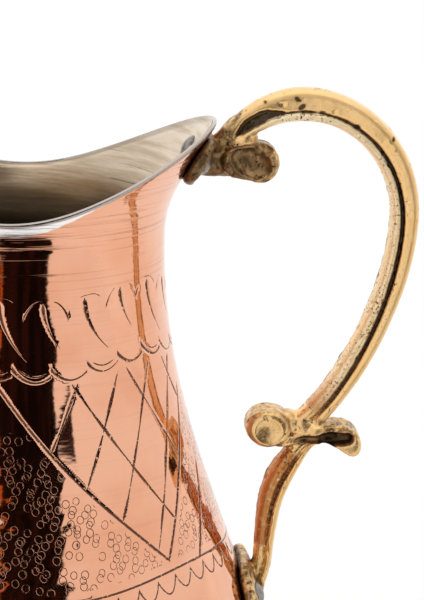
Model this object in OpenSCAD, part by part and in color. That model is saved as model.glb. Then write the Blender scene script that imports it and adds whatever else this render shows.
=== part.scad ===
// Hand-engraved copper water jug: spun and tinned vessel, crimped base, cast S-handle, rivets.
// Millimetres, +Z up. The origin is the middle of the base on the table, the handle is at +X.

/* [Vessel] */
// Radius of the wall where it meets the base
base_r = 58; // [45:0.5:70]
// Largest radius of the belly
belly_r = 80.5; // [72:0.5:95]
// Height of the widest place of the belly
belly_z = 64; // [50:1:80]
// Radius of the neck at its narrowest place
neck_r = 45.6; // [38:0.2:52]
// Height of the narrowest place of the neck
neck_z = 202; // [185:1:225]
// Thickness of the copper wall
wall_t = 1.1; // [0.7:0.1:1.6]
// Thickness of the tin coat inside
tin_t = 0.3; // [0.2:0.05:0.6]

/* [Mouth] */
// Lean of the mouth's flare from upright, in degrees
flare_angle = 29.6; // [20:0.2:40]
// Radius of the bend between neck and flare
flare_bend = 28; // [15:1:40]
// Rise of the rim above the neck at the handle
handle_rim = 30; // [26:1:40]
// Rise of the rim above the neck at its lowest place
rim_dip = 9; // [4:0.5:14]
// Distance of the lowest place from the jug's axis, towards the handle
rim_dip_x = 5; // [-5:0.5:12]
// Length over which the rim bends up towards the handle
handle_sweep = 33; // [20:1:50]
// Length over which the rim bends up towards the lip
lip_sweep = 24; // [15:1:50]

/* [Pouring lip] */
// Rise of the rim above the neck at the tip of the lip
lip_rim = 36; // [28:1:42]
// Distance of the tip of the lip from the jug's axis
lip_reach = 74; // [68:1:82]
// Radius of the trough at the tip of the lip
lip_r = 11; // [8:0.5:14]
// Radius of the trough where it leaves the neck
lip_low_r = 28; // [22:0.5:32]
// Lean of the trough's front from upright, in degrees
lip_lean = 30; // [26:0.5:36]

/* [Base] */
// Thickness of the base plate
plate_t = 1; // [0.7:0.1:1.6]
// Width of the wall's flange that the base plate is folded over
flange_w = 3.4; // [2.6:0.1:5]
// Room between the edge of the flange and the fold
fold_gap = 0.1; // [0.05:0.05:0.3]
// Leg of the solder fillet inside the seam
solder_leg = 3; // [1.5:0.25:5]

/* [Handle] */
// Distance of the bow's middle line outside the neck at its widest place
bow_out = 64.4; // [54:0.2:76]
// Height of the bow's widest place above the neck
bow_rise = 5; // [-5:1:12]
// Distance of the crown outside the neck
crown_out = 36; // [28:1:44]
// Height of the crown's middle line above the neck
crown_rise = 35; // [32:1:42]
// Half thickness of the bow at its crown
bow_half = 4.5; // [3.5:0.1:5.5]
// Half width of the bow at its crown
bow_half_w = 5; // [4:0.1:6.5]
// Half thickness of the leg above its pad
leg_half = 3; // [2.2:0.1:4]
// Half width of the leg above its pad
leg_half_w = 4.2; // [3:0.1:5.5]
// Distance of the double scroll outside the neck
scroll_out = 39; // [32:1:46]
// Drop of the double scroll below the neck
scroll_drop = 54; // [46:1:62]
// Distance of the curl's middle from the double scroll
curl_out = 12.5; // [9:0.5:16]
// Height of the curl
curl_h = 8.2; // [6:0.2:11]
// Radius of the knob under the bow's root
high_knob_r = 5.3; // [4.5:0.1:6.2]
// Distance of that knob from the root
high_knob_out = 15.2; // [12:0.2:18]
// Radius of the knob at the double scroll
low_knob_r = 6.3; // [5:0.1:7.5]
// Half width of the knobs
knob_half_w = 6; // [5:0.1:7.5]

/* [Handle pads] */
// Thickness of the pads that lie on the wall
pad_t = 3.2; // [2.4:0.1:4.5]
// Rise of the upper pad's middle above the neck
high_pad_rise = 20.6; // [17:0.1:21.5]
// Height of the upper pad along the wall
high_pad_h = 13.4; // [11:0.2:14.4]
// Width of the upper pad
high_pad_w = 31; // [27:0.5:38]
// Drop of the lower pad's middle below the neck
low_pad_drop = 101; // [92:1:110]
// Height of the lower pad along the wall
low_pad_h = 18; // [13:0.5:24]
// Width of the lower pad
low_pad_w = 33; // [29:0.5:40]

/* [Rivets] */
// Diameter of the rivet shanks
shank_d = 3.8; // [3:0.1:4.6]
// Diameter of the rivet heads
head_d = 6.6; // [5.6:0.1:8]
// Height of the rivet heads
head_h = 1.3; // [0.8:0.1:2]
// Distance between the rivets of a pad
rivet_span = 16.4; // [15.6:0.2:20]
// Room round a shank and under a head
rivet_gap = 0.05; // [0.02:0.01:0.15]

/* [Hidden] */
$fn = 96;

// How early the shoulder falls in from the belly
shoulder_lead = 0.24;
// Steps along the curves of the wall, of the rim and of the handle
foot_steps = 9;
shoulder_steps = 20;
bend_steps = 7;
rim_steps = 14;
bow_steps = 12;
curl_steps = 6;
leg_steps = 9;
// Share of a side that makes a cubic curve a quarter of an ellipse
quarter = 0.5523;
// Excess of cutting shapes beyond what they cut, and height of what is cut off above the rim
over = 1;
rim_over = 12;

bend_h = flare_bend * sin(flare_angle);
handle_rim_z = neck_z + handle_rim;
rim_dip_z = neck_z + rim_dip;
lip_rim_z = neck_z + lip_rim;
top_z = max(handle_rim_z, lip_rim_z) + rim_over;

function ease(u) = u * u * (3 - 2 * u);
function mix(a, b, t) = a + (b - a) * t;
function flare(h) =
    h <= 0 ? 0 :
    h < bend_h ? flare_bend - sqrt(flare_bend * flare_bend - h * h) :
    flare_bend * (1 - cos(flare_angle)) + (h - bend_h) * tan(flare_angle);
function led(t) = t + shoulder_lead * t * (1 - t);
function shoulder(t) = mix(belly_r, neck_r, ease(led(min(t, 1))));
// Outer radius of the wall at a height
function wall_r(z) =
    z < belly_z ? belly_r - (belly_r - base_r) * pow(1 - z / belly_z, 2) :
    shoulder((z - belly_z) / (neck_z - belly_z)) + flare(z - neck_z);

// Heights at which the wall's line has a point, from the base plate up
wall_heights = concat(
    [for (i = [0:foot_steps - 1]) mix(plate_t, belly_z, i / foot_steps)],
    [for (i = [0:shoulder_steps - 1]) mix(belly_z, neck_z, i / shoulder_steps)],
    [for (i = [0:bend_steps]) neck_z + flare_bend * sin(flare_angle * i / bend_steps)],
    [top_z]
);
wall_line = [for (z = wall_heights) [wall_r(z), z]];

// A line moved sideways by d, to its left when d is positive
function unit(v) = v / norm(v);
function left_of(v) = [-v[1], v[0]];
function side(l, i) = unit(left_of(l[i + 1] - l[i]));
function corner_side(l, i) =
    i == 0 ? side(l, 0) :
    i == len(l) - 1 ? side(l, i - 1) :
    let (a = side(l, i - 1), b = side(l, i)) (a + b) / (1 + a * b);
function moved(l, d) = [for (i = [0:len(l) - 1]) l[i] + d * corner_side(l, i)];

// Inside of the copper, with the solder fillet in its corner, and inside of the tin
copper_inside = moved(wall_line, wall_t);
seam_r = copper_inside[0][0];
solder_top = plate_t + solder_leg;
function inside_r(z) = lookup(z, [for (p = copper_inside) [p[1], p[0]]]);
cavity_line = concat(
    [[0, plate_t], [seam_r - solder_leg, plate_t], [inside_r(solder_top), solder_top]],
    [for (p = copper_inside) if (p[1] > solder_top + over) p]
);
tin_inside = moved(cavity_line, tin_t);

module turned(line) {
    rotate_extrude()
        polygon(concat(line, [[0, line[len(line) - 1][1]], [0, line[0][1]]]));
}

// Trough of the pouring lip: a leaning cone from inside the neck to above the rim, made smaller by d
lip_inset = 3;
lip_over = 10;
lip_low_x = neck_r - lip_inset;
lip_low_z = lip_rim_z - (lip_reach - lip_low_x) / tan(lip_lean);
lip_front = (lip_rim_z - lip_low_z) / cos(lip_lean);
lip_taper = asin((lip_low_r - lip_r) / lip_front);
lip_tilt = lip_lean + lip_taper;
lip_end_r = lip_low_r - (lip_front + lip_over) * sin(lip_taper);
module trough(d) {
    translate([lip_low_r * cos(lip_tilt) - lip_low_x, 0, lip_low_z + lip_low_r * sin(lip_tilt)])
        rotate([0, -lip_tilt, 0])
            cylinder(r1 = lip_low_r - d, r2 = lip_end_r - d, h = (lip_front + lip_over) * cos(lip_taper));
}

// Height of the rim over the jug's long axis
function bowed(u, bend) = sqrt(1 + pow(u / bend, 2)) - 1;
handle_tip_x = wall_r(handle_rim_z);
function rim_z(x) =
    x > rim_dip_x ?
    rim_dip_z + (handle_rim - rim_dip) * bowed(x - rim_dip_x, handle_sweep)
        / bowed(handle_tip_x - rim_dip_x, handle_sweep) :
    rim_dip_z + (lip_rim - rim_dip) * bowed(x - rim_dip_x, lip_sweep)
        / bowed(-lip_reach - rim_dip_x, lip_sweep);
module above_rim() {
    low_x = -lip_reach - 2 * lip_over;
    high_x = wall_r(top_z) + over;
    ends = [[high_x, 2 * top_z], [low_x, 2 * top_z]];
    rotate([90, 0, 0])
        linear_extrude(height = 4 * belly_r, center = true)
            polygon(concat(
                [for (i = [0:rim_steps]) let (x = mix(low_x, rim_dip_x, i / rim_steps)) [x, rim_z(x)]],
                [for (i = [1:rim_steps]) let (x = mix(rim_dip_x, high_x, i / rim_steps)) [x, rim_z(x)]],
                ends
            ));
}

// Places on the wall: heights of the pads, lean of the wall, angle of the rivets round the jug
high_pad_z = neck_z + high_pad_rise;
low_pad_z = neck_z - low_pad_drop;
function wall_lean(z) = atan2(wall_r(z + 0.5) - wall_r(z - 0.5), 1);
function rivet_turn(z) = asin(rivet_span / 2 / wall_r(z));
// Frame on the outside of the wall: +Z outwards, +X down the wall
module on_wall(z, turn) {
    rotate([0, 0, turn])
        translate([wall_r(z), 0, z])
            rotate([0, 90 + wall_lean(z), 0])
                children();
}
module rivet_bores(z) {
    for (side = [-1, 1])
        on_wall(z, side * rivet_turn(z))
            translate([0, 0, -wall_t - tin_t - 4 * head_h])
                cylinder(d = shank_d + 2 * rivet_gap, h = wall_t + tin_t + pad_t + 8 * head_h);
}
module all_bores() {
    rivet_bores(high_pad_z);
    rivet_bores(low_pad_z);
}

module body_wall() {
    color("peru")
        difference() {
            union() {
                turned(wall_line);
                trough(0);
                translate([0, 0, plate_t])
                    cylinder(r = base_r + flange_w, h = wall_t);
            }
            turned(concat([[seam_r, plate_t - over]], copper_inside));
            trough(wall_t);
            above_rim();
            all_bores();
        }
}

// The plate's edge is folded up and in over the flange of the wall
fold_r = base_r + flange_w + fold_gap;
fold_z = plate_t + wall_t;
fold_in_r = max(wall_r(fold_z + plate_t) + fold_gap, fold_r - flange_w / 2);
module base_plate() {
    color("sienna")
        rotate_extrude()
            polygon([
                [0, 0],
                [fold_r + plate_t, 0],
                [fold_r + plate_t, fold_z + plate_t],
                [fold_in_r, fold_z + plate_t],
                [fold_in_r, fold_z],
                [fold_r, fold_z],
                [fold_r, plate_t],
                [0, plate_t]
            ]);
}

module seam_solder() {
    color("lightgray")
        rotate_extrude()
            polygon(concat(
                [[seam_r - solder_leg, plate_t], [seam_r, plate_t]],
                [for (p = copper_inside) if (p[1] < solder_top) p],
                [[inside_r(solder_top), solder_top]]
            ));
}

module tin_lining() {
    color("silver")
        difference() {
            union() {
                turned(cavity_line);
                trough(wall_t);
            }
            turned(tin_inside);
            trough(wall_t + tin_t);
            above_rim();
            all_bores();
        }
}

// Pad of the handle: a piece of shell on the wall with round ends, w wide and h along the wall
module pad(z, w, h) {
    turn = asin(w / 2 / wall_r(z)) + 1;
    low_z = z - h / 2 - over;
    high_z = z + h / 2 + over;
    heights = concat([low_z], [for (a = wall_heights) if (a > low_z && a < high_z) a], [high_z]);
    seat = [for (a = heights) [wall_r(a), a]];
    face = moved(seat, -pad_t);
    intersection() {
        rotate([0, 0, -turn])
            rotate_extrude(angle = 2 * turn)
                polygon(concat(seat, [for (i = [len(face) - 1:-1:0]) face[i]]));
        on_wall(z, 0)
            linear_extrude(height = 8 * pad_t, center = true) {
                square([h, w - h], center = true);
                for (end = [-1, 1])
                    translate([0, end * (w - h) / 2])
                        circle(d = h);
            }
    }
}

// Cubic curve in the plane of the handle, and a point at a distance in a direction
function bezier(p, t) =
    pow(1 - t, 3) * p[0] + 3 * pow(1 - t, 2) * t * p[1] + 3 * (1 - t) * t * t * p[2] + pow(t, 3) * p[3];
function bezier_points(p, n) = [for (i = [0:n - 1]) bezier(p, i / n)];
function towards(p, angle, d) = p + d * [cos(angle), sin(angle)];

// Section of the handle in half sizes: a large outer roll, a small inner roll, a groove between them
outer_roll = 0.68;
inner_roll = 0.46;
inner_roll_w = 0.86;
outer_points = 9;
inner_points = 5;
groove_angle = 50;
section = concat(
    [for (i = [0:outer_points - 1])
        let (a = mix(groove_angle - 180, 180 - groove_angle, i / (outer_points - 1)))
            [1 - outer_roll + outer_roll * cos(a), sin(a)]],
    [for (i = [0:inner_points - 1])
        let (a = mix(groove_angle, 360 - groove_angle, i / (inner_points - 1)))
            [inner_roll - 1 + inner_roll * cos(a), inner_roll_w * sin(a)]]
);

// Closed rod with that section along a line in the plane of the handle
module rod(line, half, half_w) {
    n = len(section);
    last = len(line) - 1;
    points = [
        for (i = [0:last])
            let (out = half[i] * unit(corner_side(line, i)))
                for (s = section)
                    [line[i][0] + out[0] * s[0], half_w[i] * s[1], line[i][1] + out[1] * s[0]]
    ];
    sides = [
        for (i = [0:last - 1], j = [0:n - 1])
            let (a = i * n + j, b = i * n + (j + 1) % n)
                each [[a, b + n, a + n], [a, b, b + n]]
    ];
    start = [for (j = [n - 1:-1:0]) j];
    end = [for (j = [0:n - 1]) last * n + j];
    polyhedron(points, concat([start], sides, [end]));
}

// Middle line of the bow: from the upper pad over the crown to the knob at the double scroll
root_angle = 46;
root_pull = 11.5;
crown_pull = 11;
bow_pull = 20;
scroll_angle = 41.3;
scroll_pull = 17.7;
root = [wall_r(high_pad_z) + pad_t / 2, high_pad_z - high_pad_h * 0.15];
crown = [neck_r + crown_out, neck_z + crown_rise];
widest = [neck_r + bow_out, neck_z + bow_rise];
scroll = [neck_r + scroll_out, neck_z - scroll_drop];
low_knob = scroll - [low_knob_r * 1.4, 0];
high_knob = root + [high_knob_out, high_knob_r / 8];
bow_line = concat(
    bezier_points([root, towards(root, root_angle, root_pull), crown - [crown_pull, 0], crown], bow_steps),
    bezier_points([
        crown,
        [mix(crown[0], widest[0], quarter), crown[1]],
        [widest[0], mix(widest[1], crown[1], quarter)],
        widest
    ], bow_steps),
    bezier_points([
        widest,
        widest - [0, bow_pull],
        towards(scroll, scroll_angle, scroll_pull),
        scroll
    ], bow_steps),
    bezier_points([
        scroll,
        towards(scroll, scroll_angle, -low_knob_r / 2),
        towards(low_knob, -70, low_knob_r * 0.7),
        low_knob
    ], curl_steps),
    [low_knob]
);

// Middle line of the leg: from the tip of its curl through the double scroll to the lower pad
leg_angle = 56;
leg_pull = 11;
foot_h = 8;
curl_top = scroll + [curl_out, -leg_half / 4];
curl_tip = curl_top - [0, curl_h];
curl_middle = curl_top - [0, curl_h / 4];
leg_top = scroll - [leg_half / 2, low_knob_r * 1.35];
foot = [wall_r(low_pad_z) + pad_t / 2, low_pad_z];
leg_line = concat(
    bezier_points([
        curl_tip,
        curl_tip + [curl_h * 0.75, curl_h / 4],
        curl_top + [curl_h * 0.75, 0],
        curl_top
    ], curl_steps),
    bezier_points([
        curl_top,
        curl_top - [curl_out / 2, 0],
        towards(leg_top, leg_angle, low_knob_r),
        leg_top
    ], curl_steps),
    bezier_points([
        leg_top,
        towards(leg_top, leg_angle, -leg_pull),
        foot + [leg_half, 3 * foot_h],
        foot + [leg_half * 0.7, foot_h]
    ], leg_steps),
    [foot + [leg_half / 5, foot_h / 4], foot - [0, foot_h * 0.4]]
);

// Thickness along a rod, as shares of its size: at the start, at its thickest place and at the end
function shares(n, start, thick, end, place) = [
    for (i = [0:n - 1])
        let (t = i / (n - 1))
            t < place ? mix(start, thick, ease(t / place)) : mix(thick, end, ease((t - place) / (1 - place)))
];
bow_shares = shares(len(bow_line), 0.74, 1, 0.78, 0.3);
leg_shares = shares(len(leg_line), 0.55, 1.15, 0.85, 0.5);

// Knob: a short roll across the handle with round edges and a flat disc at each end
knob_round = 0.36;
module knob(centre, r) {
    c = r * knob_round;
    translate([centre[0], 0, centre[1]])
        rotate([90, 0, 0])
            rotate_extrude()
                polygon(concat(
                    [[0, -knob_half_w]],
                    [for (a = [-90:30:0]) [r - c + c * cos(a), c - knob_half_w + c * sin(a)]],
                    [for (a = [0:30:90]) [r - c + c * cos(a), knob_half_w - c + c * sin(a)]],
                    [[0, knob_half_w]]
                ));
}

module handle() {
    color("goldenrod")
        difference() {
            union() {
                pad(high_pad_z, high_pad_w, high_pad_h);
                pad(low_pad_z, low_pad_w, low_pad_h);
                rod(bow_line, bow_half * bow_shares, bow_half_w * bow_shares);
                rod(leg_line, leg_half * leg_shares, leg_half_w * leg_shares);
                translate([root[0] + pad_t / 2, 0, root[1]])
                    rotate([0, 90, 0])
                        cylinder(r = high_knob_r * 0.72, h = high_knob_out - pad_t / 2);
                knob(high_knob, high_knob_r);
                knob(low_knob, low_knob_r);
                knob(curl_middle, curl_h / 2);
            }
            all_bores();
        }
}

// Rivet with a low dome at both ends, drawn up tight on the tin and on the pad, on one through shank
module dome() {
    dome_r = (head_d * head_d / 4 + head_h * head_h) / (2 * head_h);
    intersection() {
        translate([0, 0, head_h - dome_r])
            sphere(r = dome_r);
        cylinder(d = head_d + over, h = head_h + over);
    }
}
// Height by which a flat head stands off a wall that curves under it
function seat_rise(z) = head_d * head_d / 8 / wall_r(z) + rivet_gap;
module rivet(z, side) {
    inside = -wall_t - tin_t - seat_rise(z);
    outside = pad_t + rivet_gap;
    color("gainsboro")
        on_wall(z, side * rivet_turn(z))
            union() {
                translate([0, 0, inside - head_h / 2])
                    cylinder(d = shank_d, h = outside - inside + head_h);
                translate([0, 0, outside])
                    dome();
                translate([0, 0, inside])
                    mirror([0, 0, 1])
                        dome();
            }
}

module high_rivet_near() { rivet(high_pad_z, -1); }
module high_rivet_far() { rivet(high_pad_z, 1); }
module low_rivet_near() { rivet(low_pad_z, -1); }
module low_rivet_far() { rivet(low_pad_z, 1); }

body_wall();
base_plate();
seam_solder();
tin_lining();
handle();
high_rivet_near();
high_rivet_far();
low_rivet_near();
low_rivet_far();
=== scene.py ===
import math
import bpy
import numpy as np
from mathutils import Matrix, Vector, noise


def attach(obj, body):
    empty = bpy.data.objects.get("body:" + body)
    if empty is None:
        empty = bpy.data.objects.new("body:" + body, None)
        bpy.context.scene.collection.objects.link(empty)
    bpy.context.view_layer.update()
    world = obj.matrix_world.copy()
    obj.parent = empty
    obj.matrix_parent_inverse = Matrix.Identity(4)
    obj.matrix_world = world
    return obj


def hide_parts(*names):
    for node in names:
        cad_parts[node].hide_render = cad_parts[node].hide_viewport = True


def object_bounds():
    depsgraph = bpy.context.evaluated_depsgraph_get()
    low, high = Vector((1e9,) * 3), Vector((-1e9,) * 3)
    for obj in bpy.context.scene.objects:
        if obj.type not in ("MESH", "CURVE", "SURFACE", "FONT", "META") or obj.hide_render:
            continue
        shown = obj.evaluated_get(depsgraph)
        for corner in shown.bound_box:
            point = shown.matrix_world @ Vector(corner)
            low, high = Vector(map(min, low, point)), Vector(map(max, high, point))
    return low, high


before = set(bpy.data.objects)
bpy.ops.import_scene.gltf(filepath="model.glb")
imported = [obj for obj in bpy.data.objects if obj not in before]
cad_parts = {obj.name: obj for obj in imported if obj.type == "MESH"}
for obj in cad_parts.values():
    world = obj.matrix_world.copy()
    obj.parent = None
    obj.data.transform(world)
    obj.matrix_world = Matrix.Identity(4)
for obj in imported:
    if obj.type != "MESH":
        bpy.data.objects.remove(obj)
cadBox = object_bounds()
scene = bpy.context.scene
scene.view_settings.view_transform = "Standard"
mm = 0.001
print("frame: loaded", len(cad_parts), "nodes")

# sizes of the solids, in millimetres
vessel = {"baseR": 58, "bellyR": 80.5, "bellyZ": 64, "neckR": 45.6, "neckZ": 202, "lead": 0.24,
          "wall": 1.1, "tin": 0.3, "plate": 1, "solder": 3, "clear": 0.05}
mouth = {"angle": 29.6, "bend": 28, "handleRim": 30, "dip": 9, "dipX": 5, "handleSweep": 33, "lipSweep": 24}
lip = {"rim": 36, "reach": 74, "r": 11, "lowR": 28, "lean": 30, "inset": 3, "blend": 6}


# the vessel's form: outer radius by angle and height, and the height of its rim
def spunR(z):
    v, m = vessel, mouth
    foot = v["bellyR"] - (v["bellyR"] - v["baseR"]) * (1 - z / v["bellyZ"]) ** 2
    t = np.clip((z - v["bellyZ"]) / (v["neckZ"] - v["bellyZ"]), 0, 1)
    u = t + v["lead"] * t * (1 - t)
    body = v["bellyR"] + (v["neckR"] - v["bellyR"]) * u * u * (3 - 2 * u)
    lean = math.radians(m["angle"])
    h = np.maximum(z - v["neckZ"], 0)
    bendH = m["bend"] * math.sin(lean)
    arc = m["bend"] - np.sqrt(m["bend"] ** 2 - np.minimum(h, bendH) ** 2)
    return np.where(z < v["bellyZ"], foot, body + arc + np.maximum(h - bendH, 0) * math.tan(lean))


def spunAt(z):
    return float(spunR(np.float64(z)))


def lipR(ang, z):
    lowX = vessel["neckR"] - lip["inset"]
    tipZ = vessel["neckZ"] + lip["rim"]
    lean = math.radians(lip["lean"])
    lowZ = tipZ - (lip["reach"] - lowX) / math.tan(lean)
    taper = math.asin((lip["lowR"] - lip["r"]) * math.cos(lean) / (tipZ - lowZ))
    tilt = lean + taper
    k = math.tan(taper)
    qx = lowX - lip["lowR"] * math.cos(tilt)
    qz = z - lowZ - lip["lowR"] * math.sin(tilt)
    along = -np.cos(ang) * math.sin(tilt)
    q = qz * math.cos(tilt) - qx * math.sin(tilt)
    r0 = lip["lowR"] - k * q
    a = 1 - along ** 2 * (1 + k * k)
    b = 2 * (np.cos(ang) * qx - along * q + r0 * k * along)
    c = qx * qx + qz * qz - q * q - r0 * r0
    inside = b * b - 4 * a * c
    facing = (inside > 0) & (np.cos(ang) < 0.1) & (z > lowZ - 45)
    return np.where(facing, (np.sqrt(np.maximum(inside, 0)) - b) / (2 * a), -1000)


def outerR(ang, z):
    a, b = spunR(z), lipR(ang, z)
    h = np.clip(0.5 + 0.5 * (b - a) / lip["blend"], 0, 1)
    return a + (b - a) * h + lip["blend"] * h * (1 - h)


def rimHeight(x):
    m = mouth
    dipZ = vessel["neckZ"] + m["dip"]
    u = x - m["dipX"]
    bowed = lambda d, sweep: np.sqrt(1 + (d / sweep) ** 2) - 1
    tipX = spunAt(vessel["neckZ"] + m["handleRim"])
    up = (m["handleRim"] - m["dip"]) * bowed(u, m["handleSweep"]) / bowed(tipX - m["dipX"], m["handleSweep"])
    lipUp = (lip["rim"] - m["dip"]) * bowed(u, m["lipSweep"]) / bowed(lip["reach"] + m["dipX"], m["lipSweep"])
    return dipZ + np.where(u > 0, up, lipUp)


def rimZ(ang):
    z = np.full_like(ang, 220.0)
    for i in range(60):
        z = 0.5 * z + 0.5 * rimHeight(outerR(ang, z) * np.cos(ang))
    return z


def wallAt(ang, z, sunk=0.0):
    r = outerR(ang, z) - sunk - vessel["clear"]
    return np.stack([r * np.cos(ang), r * np.sin(ang), z + 0 * r], -1)


def wallNormal(ang, z, sunk=lambda ang, z: 0.0):
    turn, rise = 0.002, 0.1
    at = lambda a, h: wallAt(a, h, sunk(a, h))
    n = np.cross(at(ang + turn, z) - at(ang - turn, z), at(ang, z + rise) - at(ang, z - rise))
    return n / np.linalg.norm(n, axis=-1, keepdims=True)


# shader maths: a wrapped socket with operators, and a shop that adds nodes
class Val:
    def __init__(self, shop, socket):
        self.shop, self.socket = shop, socket

    def __add__(self, o):
        return self.shop.maths("ADD", self, o)

    def __radd__(self, o):
        return self.shop.maths("ADD", o, self)

    def __sub__(self, o):
        return self.shop.maths("SUBTRACT", self, o)

    def __rsub__(self, o):
        return self.shop.maths("SUBTRACT", o, self)

    def __mul__(self, o):
        return self.shop.maths("MULTIPLY", self, o)

    def __rmul__(self, o):
        return self.shop.maths("MULTIPLY", o, self)

    def __truediv__(self, o):
        return self.shop.maths("DIVIDE", self, o)

    def __neg__(self):
        return self.shop.maths("MULTIPLY", self, -1.0)


class Shop:
    def __init__(self, tree):
        self.tree = tree

    def plug(self, socket, value):
        if isinstance(value, Val):
            self.tree.links.new(value.socket, socket)
        else:
            socket.default_value = value

    def node(self, kind, settings=None, sockets=None, out=0):
        n = self.tree.nodes.new(kind)
        for key, value in (settings or {}).items():
            if key == "stops":
                while len(n.color_ramp.elements) < len(value):
                    n.color_ramp.elements.new(0.5)
                for e, (place, colour) in zip(n.color_ramp.elements, value):
                    e.position, e.color = place, colour
            else:
                setattr(n, key, value)
        for key, value in (sockets or {}).items():
            self.plug(n.inputs[key], value)
        return Val(self, n.outputs[out])

    def maths(self, operation, a, b=0.0):
        return self.node("ShaderNodeMath", {"operation": operation}, {0: a, 1: b})

    def blend(self, share, a, b):
        sockets = {0: share, 6: a if isinstance(a, Val) else (*a, 1), 7: b if isinstance(b, Val) else (*b, 1)}
        return self.node("ShaderNodeMix", {"data_type": "RGBA"}, sockets, 2)

    def grain(self, place, scale, detail=2.0, rough=0.5):
        return self.node("ShaderNodeTexNoise", {}, {"Vector": place, "Scale": scale, "Detail": detail,
                                                    "Roughness": rough}, 0)

    def stretched(self, place, scale):
        return self.node("ShaderNodeVectorMath", {"operation": "MULTIPLY"}, {0: place, 1: scale})

    def millimetres(self):
        return self.stretched(self.node("ShaderNodeTexCoord", out=3), (1000, 1000, 1000))

    def axes(self, place):
        outputs = self.node("ShaderNodeSeparateXYZ", {}, {0: place}).socket.node.outputs
        return [Val(self, a) for a in outputs]

    def raised(self, bsdf, height):
        self.plug(bsdf.inputs["Normal"], self.node("ShaderNodeBump", {}, {"Distance": mm, "Height": height}))


# the same words work on numbers, arrays and shader values
def pick(operation, arrayWay, *args):
    held = [a for a in args if isinstance(a, Val)]
    return held[0].shop.maths(operation, *args) if held else arrayWay(*args)


def either(operation, arrayWay):
    return lambda *args: pick(operation, arrayWay, *args)


least, most = either("MINIMUM", np.minimum), either("MAXIMUM", np.maximum)
size, whole = either("ABSOLUTE", np.abs), either("FLOOR", np.floor)
sine, root = either("SINE", np.sin), either("SQRT", np.sqrt)
over = either("GREATER_THAN", lambda a, b: (np.asarray(a) > b) * 1.0)


def ramp(a, low, high):
    t = least(most((a - low) / (high - low), 0.0), 1.0)
    return t * t * (3 - 2 * t)


# the engraving by angle in degrees and height in mm: each cut gives its distance and half width in mm
ornament = {"leaves": 25, "leafTurn": 6.8, "leafTop": 192.6, "leafFall": 36, "leafThin": 0.1,
            "leafThick": 3.6, "veinLead": 8.4, "veinCurl": 0.042, "veinLength": 13.5, "veinHalf": 0.85,
            "scallops": 30, "scallopTurn": 10.3, "scallopZ": 172.2, "scallopLow": 0.58, "scallopLeft": 3.3,
            "scallopRight": 1.4, "echoRise": 1.5, "quarters": 4, "latticeTop": 171.5, "latticeHalf": 0.54,
            "leftGrade": 0.934, "leftAt": 42.3, "rightGrade": 0.75, "rightAt": 41.1, "sideLine": 14,
            "fallGrade": 0.72, "fallPitch": 20.7, "riseGrade": 0.6, "risePitch": 15.2,
            "ringsRound": 108, "ringRise": 3.1, "ringR": 0.93, "ringHalf": 0.08,
            "borderZ": 119.5, "borderHalf": 0.4, "fringeGap": 1.4, "fringeDrop": 3.6, "fringeHalf": 0.3}


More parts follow.
